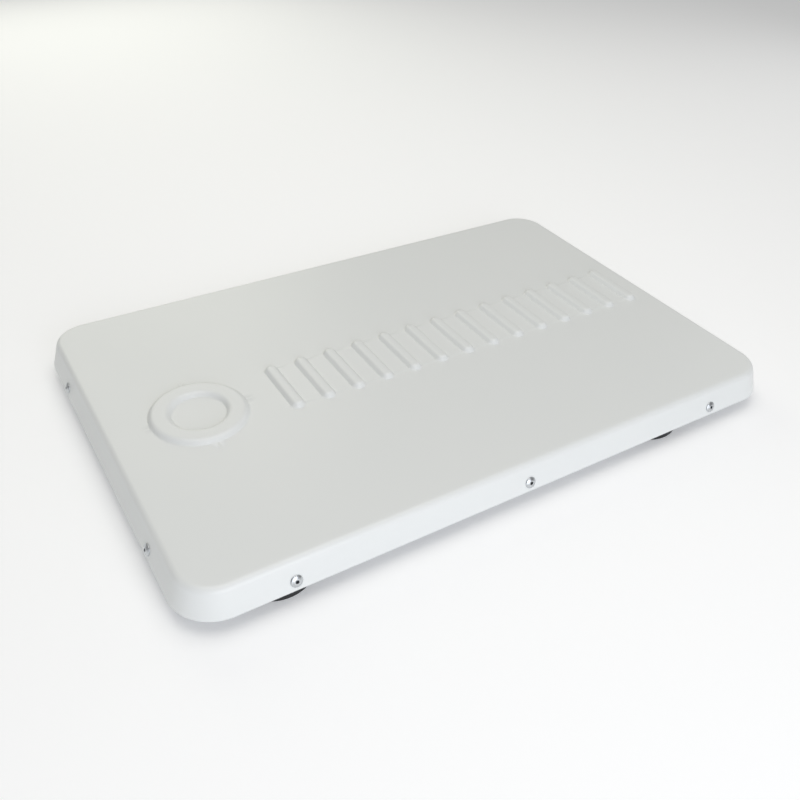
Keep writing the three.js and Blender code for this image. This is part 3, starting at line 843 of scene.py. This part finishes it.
def makeVent():
    # a screw-in breather: a low cap with openings round its side, over a threaded stem
    low, high, middle = nodeBox("vent_plug")
    face, floor, side = rimZ - tray["faceGap"], rimZ + tray["sheet"], 8.4
    profile = [
        (0, low.z + 0.5), (3, low.z + 0.5), (3.4, low.z + 0.1), (3.9, low.z), (7.2, low.z),
        (8, low.z + 0.35), (side, low.z + 1), (side, face - 0.2), (side - 0.2, face), (6, face),
        (6, floor + 0.3), (7, floor + 0.3), (7, floor + 0.8), (6.2, high.z - 0.3), (5.9, high.z),
        (0, high.z)]
    body = turn(profile, 72, atHeight(middle, 0))
    piece = makeObject("vent_plug_body", *body, blackNylon, 35)
    level = atHeight(middle, low.z + tray["ventSlotHeight"])
    holes = []
    for i in range(tray["ventSlots"]):
        way = Vector(circlePoint((0, 0), 1, i, tray["ventSlots"], 0))
        holes.append((level + way * side, way, tray["ventSlot"]))
    drillHoles(piece, holes, 5, 12, blackNylon, 35)
    settle(piece, "housing", "black_plastic", "vent_plug")


def makeGrommet():
    # a snap-in rubber grommet, closed by a thin membrane until a cable is passed through it
    low, high, middle = nodeBox("inlet_grommet")
    face, floor = rimZ - tray["faceGap"], rimZ + tray["sheet"]
    profile = [
        (0, face + 0.4), (3.2, face + 0.4), (3.5, face), (3.7, low.z + 0.7), (4.4, low.z),
        (8.4, low.z), (9, low.z + 0.3), (11.6, low.z + 1.6), (12, low.z + 2.2), (12, face - 0.3),
        (11.7, face), (9, face), (9, floor + 0.3), (11.2, floor + 0.3), (11.5, floor + 0.6),
        (10.8, high.z - 0.4), (10.3, high.z), (4.2, high.z), (3.7, high.z - 0.6),
        (3.5, face + 1.4), (3.2, face + 1), (0, face + 1)]
    body = turn(profile, 72, atHeight(middle, 0))
    piece = makeObject("inlet_grommet_body", *body, blackRubber, 35)
    settle(piece, "housing", "coat_rubber", "inlet_grommet")


print("making the underside")
makeTray()
makeSeal()
makeVent()
makeGrommet()


# Inside: the heat spreader on standoffs, and the antenna stack that it carries

stack = {
    "plateSheet": 2, "plateCorner": 6, "plateHole": 1.8, "lipWidth": 6, "lipCorner": 5,
    "leadGate": 9, "postAcross": 6.9, "postBore": 1.7, "screwShank": 1.5, "screwHead": 2.8,
    "screwDrive": 1.25,
    "canSheet": 0.4, "canCorner": 2, "canHole": 0.9, "canPitch": 5, "canMargin": 5,
    "cellPitch": 22, "cellMargin": 20, "chipHalf": 3.5, "chipHeight": 0.85,
    "patchPitch": 12, "patchMargin": 8, "patchHalf": 4.2, "patchCorner": 1.9, "patchSheet": 0.05,
}
sunk = -0.02  # how far a soldered part reaches into its board, so that no gap shows

def gridPlaces(halfX, halfY, pitch, z, middle=(0, 0)):
    # an even grid of points, centred in a rectangle
    countX, countY = int(2 * halfX // pitch), int(2 * halfY // pitch)
    return [(middle[0] + (i - countX / 2) * pitch, middle[1] + (j - countY / 2) * pitch, z)
            for i in range(countX + 1) for j in range(countY + 1)]


def insideBox(place, name, margin):
    low, high, _ = nodeBox(name)
    return (low.x - margin < place[0] < high.x + margin
            and low.y - margin < place[1] < high.y + margin)


def makeBlock(name, node, material, slot, edge, corner):
    # a CAD block with rounded corners and edges
    low, high, _ = nodeBox(node)
    piece = makeObject(name, *blockSkin(low, high, edge, corner), material, 20)
    settle(piece, "housing", slot, node)


def makeSpreader():
    low, high, _ = nodeBox("heat_spreader")
    boardHigh = nodeBox("array_board")[1]
    top = low.z + stack["plateSheet"]
    sheet = blockSkin(low, (high.x, high.y, top), 0.3, stack["plateCorner"])
    plate = makeObject("heat_spreader_plate", *sheet, millSheet, 20)
    screws = [nodeBox(f"standoff_screw_{i}")[2] for i in range(1, 5)]
    holes = [(atHeight(screw, top), up, stack["plateHole"]) for screw in screws]
    drillHoles(plate, holes, 8, 20, millSheet, 20)
    settle(plate, "housing", "sheet_aluminium", "heat_spreader")
    inset, bevel = stack["lipWidth"], 0.3
    section = [(bevel, high.z), (0, high.z - bevel), (0, top), (inset, top),
               (inset, high.z - bevel), (inset - bevel, high.z)]
    frameShape = loopSkin(section, boardHigh.x, boardHigh.y, stack["lipCorner"], closed=True)
    lip = makeObject("heat_spreader_lip", *frameShape, millSheet, 20)
    gate = Vector((nodeBox("board_socket")[2].x, boardHigh.y, high.z + 5))  # lets the lead through
    drillHoles(lip, [(gate, Vector((0, 1, 0)), stack["leadGate"])], 30, 32, millSheet, 20)
    settle(lip, "housing", "sheet_aluminium")


def screwProfile(low, high, shank, head):
    seat = high - 2
    return [(0, low), (shank - 0.4, low), (shank, low + 0.4), (shank, seat), (head - 0.15, seat),
            (head, seat + 0.15), (head, seat + 1.1), (head - 0.25, seat + 1.6), (head - 0.9, high),
            (0, high)]


def makeStandoffs():
    for i in range(1, 5):
        low, high, middle = nodeBox(f"standoff_{i}")
        shape = hexNut(low.z, high.z, stack["postAcross"], stack["postBore"], middle)
        post = makeObject(f"standoff_{i}_post", *shape, zincSteel, 40)
        settle(post, "housing", "zinc_steel", f"standoff_{i}")
        low, high, middle = nodeBox(f"standoff_screw_{i}")
        profile = screwProfile(low.z, high.z, stack["screwShank"], stack["screwHead"])
        shape = turn(profile, 48, atHeight(middle, 0))
        screw = makeObject(f"standoff_{i}_screw", *shape, zincSteel, 40)
        drive = (atHeight(middle, high.z), up, stack["screwDrive"])  # a six-sided socket
        drillHoles(screw, [drive], 2.4, 6, zincSteel, 40)
        settle(screw, "housing", "zinc_steel", f"standoff_screw_{i}")


def makeCans():
    # drawn-steel shield cans under the board, open towards it, with rows of vent holes
    sheet = stack["canSheet"]
    for name in ("processor_shield", "converter_shield"):
        low, high, middle = nodeBox(name)
        half = (high - low) / 2
        section = [(sheet, low.z + sheet), (sheet, high.z), (0, high.z), (0, low.z + 0.6),
                   (0.2, low.z + 0.2), (0.6, low.z)]
        shape = loopSkin(section, half.x, half.y, stack["canCorner"], middle)
        can = makeObject(name + "_can", *shape, tinnedSteel, 25)
        spanX, spanY = half.x - stack["canMargin"], half.y - stack["canMargin"]
        places = gridPlaces(spanX, spanY, stack["canPitch"], low.z, middle)
        holes = [(Vector(place), up, stack["canHole"]) for place in places]
        drillHoles(can, holes, 3, 10, tinnedSteel, 25)
        settle(can, "housing", "tinned_shield", name)


def makeArrayBoard():
    # the board, with a cell of steering parts below and a foil patch above for each element
    low, high, _ = nodeBox("array_board")
    makeBlock("array_board_laminate", "array_board", solderMask, "circuit_board", 0.1, 3)
    busy = ("processor_shield", "converter_shield", "board_socket")
    pitch, margin, half = stack["cellPitch"], stack["cellMargin"], stack["chipHalf"]
    cells = [place for place in gridPlaces(high.x - margin, high.y - margin, pitch, low.z)
             if not any(insideBox(place, name, pitch / 2) for name in busy)]
    chip = blockSkin((-half, -half, sunk), (half, half, stack["chipHeight"]), 0.12, 0.4, 1)
    chips = setCopies("array_board_chips", chip, cells, down, blackEpoxy)
    settle(chips, "housing", "black_plastic")
    spots = [(x, y) for x in (-6, 6) for y in (-2.6, 0, 2.6)]
    body = [(0, 0.8), (0, sunk)]
    rows = joinShapes(*[loopSkin(body, 0.8, 0.45, 0.12, spot, 1) for spot in spots])
    capacitors = setCopies("array_board_capacitors", rows, cells, down, firedCeramic)
    settle(capacitors, "housing", "patch_ceramic")
    makeBlock("foam_spacer_sheet", "foam_spacer", whiteFoam, "spacer_foam", 0.3, 3)
    makeBlock("patch_film_sheet", "patch_film", polyimide, "patch_film", 0.1, 3)
    filmTop = nodeBox("patch_film")[1].z
    side, margin = stack["patchHalf"], stack["patchMargin"]
    foil = [(0, stack["patchSheet"]), (0, sunk)]
    patch = loopSkin(foil, side, side, stack["patchCorner"], steps=1)
    places = gridPlaces(high.x - margin, high.y - margin, stack["patchPitch"], filmTop)
    patches = setCopies("patch_film_patches", patch, places, up, tinnedCopper)
    settle(patches, "housing", "patch_film")


supply = {
    "switchHalf": (4.5, 3), "switchHeight": 2.2, "switchSpots": ((-22, 6), (-22, -6), (26, -6)),
    "canX": (-8, 3), "canY": (-6, 6), "coreEdge": 0.5, "coreCorner": 3.4, "coreWell": 4.6,
}


def makeSupply():
    # the supply board on its thermal pad, along the rear margin
    makeBlock("supply_pad_sheet", "supply_pad", siliconePad, "thermal_pad", 0.4, 1)
    makeBlock("supply_board_laminate", "supply_board", solderMask, "circuit_board", 0.1, 1.5)
    low, high, middle = nodeBox("supply_board")
    halfX, halfY = supply["switchHalf"]
    bottom, top = high.z + sunk, high.z + supply["switchHeight"]
    spots = [(middle.x + x, middle.y + y) for x, y in supply["switchSpots"]]
    switches = joinShapes(*[blockSkin((x - halfX, y - halfY, bottom), (x + halfX, y + halfY, top),
                                      0.2, 0.3, 1) for x, y in spots])
    piece = makeObject("supply_board_switches", *switches, blackEpoxy, 30)
    settle(piece, "housing", "black_plastic")
    can = [(0, 0), (3.6, 0), (4, 0.3), (4, 1.4), (3.75, 1.8), (4, 2.2), (4, 6.2), (3.7, 6.6),
           (0, 6.6)]
    spots = [(middle.x + x, middle.y + y, high.z + 0.01)
             for x in supply["canX"] for y in supply["canY"]]
    cans = setCopies("supply_board_capacitors", turn(can, 32), spots, up, tinnedSteel, 35)
    settle(cans, "housing", "tinned_shield")
    low, high, middle = nodeBox("supply_inductor")
    core = blockSkin(low, high, supply["coreEdge"], supply["coreCorner"])
    piece = makeObject("supply_inductor_core", *core, ferrite, 20)
    well = (atHeight(middle, high.z), up, supply["coreWell"])
    drillHoles(piece, [well], 1.2, 40, ferrite, 25)
    settle(piece, "housing", "black_plastic", "supply_inductor")


header = {
    "inset": 0.3, "keyPlaces": (-0.55, 0, 0.55), "keyHalf": 0.7, "keyReach": 0.8, "keyHeight": 0.6,
    "sides": {"supply_connector": Vector((1, 0, 0)), "board_socket": Vector((0, 1, 0))},
}


def makeConnectors():
    # two headers for crimped plugs, each with three ribs on top that key its plug
    inset, tall = header["inset"], header["keyHeight"]
    for node, side in header["sides"].items():
        low, high, middle = nodeBox(node)
        half = (high - low) / 2
        across = Vector((side.y, side.x, 0))
        shapes = [blockSkin(low + Vector((inset, inset, 0)), high - Vector((inset, inset, 0.4)),
                            0.25, 0.5)]
        for step in header["keyPlaces"]:
            place = middle + across * step * half.dot(across)
            long = side * header["keyReach"] * half.dot(side) + across * header["keyHalf"]
            shapes.append(blockSkin((place.x - long.x, place.y - long.y, high.z - tall),
                                    (place.x + long.x, place.y + long.y, high.z), 0.15, 0.2, 2))
        piece = makeObject(node + "_header", *joinShapes(*shapes), blackNylon, 20)
        settle(piece, "housing", "black_plastic", node)


positioning = {
    "baseHeight": 3, "seatHeight": 3.8, "seatInset": 1, "tileInset": 0.5, "electrodeHalf": 9,
}


def makePositioning():
    # a ceramic patch antenna on its own small shielded board, fed by a pin beside its middle
    low, high, middle = nodeBox("positioning_patch")
    ledge, seat = low.z + positioning["baseHeight"], low.z + positioning["seatHeight"]
    inset = positioning["seatInset"]
    base = [blockSkin(low, (high.x, high.y, ledge), 0.2, 1.2),
            blockSkin((low.x + inset, low.y + inset, ledge - 0.1),
                      (high.x - inset, high.y - inset, seat), 0.1, 0.5)]
    piece = makeObject("positioning_patch_base", *joinShapes(*base), tinnedSteel, 20)
    settle(piece, "housing", "tinned_shield")
    inset = positioning["tileInset"]
    tile = blockSkin((low.x + inset, low.y + inset, seat),
                     (high.x - inset, high.y - inset, high.z - 0.3), 0.25, 1)
    piece = makeObject("positioning_patch_ceramic", *tile, firedCeramic, 20)
    settle(piece, "housing", "patch_ceramic", "positioning_patch")
    half = positioning["electrodeHalf"]
    silver = blockSkin((middle.x - half, middle.y - half, high.z - 0.32),
                       (middle.x + half, middle.y + half, high.z - 0.22), 0.02, 0.8, 2)
    solder = [(0, -0.3), (1.2, -0.3), (1.15, -0.15), (0.8, -0.02), (0, 0)]
    bead = turn(solder, 24, (middle.x + 2.2, middle.y, high.z))
    piece = makeObject("positioning_patch_electrode", *joinShapes(silver, bead), tinnedCopper, 30)
    settle(piece, "housing", "tinned_shield")


# Lead: a twisted pair, routed round the corner of the array board

lead = {    "radius": 0.72, "twistRadius": 0.74, "twistPitch": 22, "sides": 12, "perSpan": 14,
    "route": [(18.3, 175), (26, 175), (40, 170), (53, 159), (60, 143), (60, 138), (60, 131.3)],
}


def smoothRoute(route, perSpan):
    # a curve through all of the route's points
    ends = [2 * route[0] - route[1], *route, 2 * route[-1] - route[-2]]
    curve = []
    for a, b, c, d in zip(ends, ends[1:], ends[2:], ends[3:]):
        for i in range(perSpan):
            t = i / perSpan
            curve.append(0.5 * (2 * b + (c - a) * t + (2 * a - 5 * b + 4 * c - d) * t * t
                                + (3 * b - a - 3 * c + d) * t ** 3))
    return curve + [route[-1]]


def tubeSkin(centres, radius, sides):
    # a round wire along a curve that is never upright
    points, faces, rows = [], [], []
    for i, centre in enumerate(centres):
        along = (centres[min(i + 1, len(centres) - 1)] - centres[max(i - 1, 0)]).normalized()
        side = along.cross(up).normalized()
        over = side.cross(along)
        row = []
        for k in range(sides):
            a = 2 * math.pi * k / sides
            row.append(len(points))
            points.append(centre + radius * (side * math.cos(a) + over * math.sin(a)))
        rows.append(row)
    for first, second in zip(rows, rows[1:]):
        addBand(faces, first, second)
    faces.extend((tuple(rows[0]), tuple(reversed(rows[-1]))))
    return points, faces


def makeLead():
    # two insulated wires twisted together, from the supply board's header to the array board's
    lowZ, highZ = nodeBox("supply_connector")[2].z, nodeBox("board_socket")[2].z
    levels = [lowZ] * 2 + [highZ] * (len(lead["route"]) - 2)
    route = [Vector((x, y, z)) for (x, y), z in zip(lead["route"], levels)]
    centres = smoothRoute(route, lead["perSpan"])
    wires, travelled = [[], []], 0
    for i, centre in enumerate(centres):
        before, after = centres[max(i - 1, 0)], centres[min(i + 1, len(centres) - 1)]
        travelled += (centre - before).length
        along = (after - before).normalized()
        side = along.cross(up).normalized()
        turned = Matrix.Rotation(2 * math.pi * travelled / lead["twistPitch"], 3, along) @ side
        wires[0].append(centre + turned * lead["twistRadius"])
        wires[1].append(centre - turned * lead["twistRadius"])
    shapes = [tubeSkin(wire, lead["radius"], lead["sides"]) for wire in wires]
    piece = makeObject("supply_lead_wires", *joinShapes(*shapes), blackNylon, 50)
    settle(piece, "housing", "black_plastic", "supply_lead")


print("making the inside")
makeSpreader()
makeStandoffs()
makeCans()
makeArrayBoard()
makeSupply()
makeConnectors()
makePositioning()
makeLead()


# Studio: a pale floor, soft light and the camera

studio = {
    "azimuth": -32.95, "elevation": 37.51, "roll": 2.79, "distance": 851.5,
    "aim": (-15.1, -13.2, -10.6), "lens": 38.05, "sensor": 36, "nearest": 0.01, "farthest": 100,
    "floorSize": 12000,
    "floorColour": "#F4F5F6", "floorGlow": 0.17, "world": 0.28,
}
softboxes = {  # place, size, power and colour
    "front softbox": ((-260, -1500, 480), 1300, 13.6, "#F4F7FF"),
    "overhead softbox": ((-20, -60, 1700), 1500, 12.2, "#FEFBF5"),
    "back softbox": ((0, 1500, 800), 1200, 5.1, "#FEFFEF"),
    "right softbox": ((1500, 200, 700), 900, 1.2, "#FFFFFF"),
}


def aimedMatrix(place, back, roll=0):
    # an object's matrix at a place, with its local Z along back and its X level before the roll
    back = Vector(back).normalized()
    level = Vector((-back.y, back.x, 0)).normalized()
    across = Matrix.Rotation(math.radians(roll), 3, back) @ level
    over = back.cross(across)
    turned = Matrix((across, over, back)).transposed().to_4x4()
    return Matrix.Translation(Vector(place) * mm) @ turned


def makeCamera():
    azimuth, elevation = math.radians(studio["azimuth"]), math.radians(studio["elevation"])
    level = math.cos(elevation)
    back = Vector((level * math.sin(azimuth), -level * math.cos(azimuth), math.sin(elevation)))
    place = Vector(studio["aim"]) + back * studio["distance"]
    camera = bpy.data.objects.new("camera", bpy.data.cameras.new("camera"))
    camera.data.lens, camera.data.sensor_width = studio["lens"], studio["sensor"]
    camera.data.clip_start, camera.data.clip_end = studio["nearest"], studio["farthest"]
    camera.matrix_world = aimedMatrix(place, back, studio["roll"])
    bpy.context.scene.collection.objects.link(camera)
    bpy.context.scene.camera = camera


def makeStudio():
    # the floor glows a little, which lifts it to near white without a harder light
    material = startMaterial("pale studio floor", **{
        "Base Color": linear(studio["floorColour"]), "Roughness": 0.9,
        "Emission Color": linear("#FFFFFF"), "Emission Strength": studio["floorGlow"]})[0]
    half = studio["floorSize"] / 2
    corners = [(-half, -half, 0), (half, -half, 0), (half, half, 0), (-half, half, 0)]
    floor = makeObject("studio_floor", corners, [(0, 1, 2, 3)], material)
    world = bpy.data.worlds.new("studio world")
    world.use_nodes = True
    backdrop = world.node_tree.nodes["Background"].inputs
    backdrop["Color"].default_value = linear("#FFFFFF")
    backdrop["Strength"].default_value = studio["world"]
    bpy.context.scene.world = world
    for name, (place, size, power, colour) in softboxes.items():
        light = bpy.data.lights.new(name, "AREA")
        light.size, light.energy, light.color = size * mm, power, linear(colour)[:3]
        lamp = bpy.data.objects.new(name, light)
        lamp.matrix_world = aimedMatrix(place, place)
        bpy.context.scene.collection.objects.link(lamp)
    bpy.context.scene.view_settings.view_transform = "Standard"


print("setting up the studio")
makeCamera()
makeStudio()
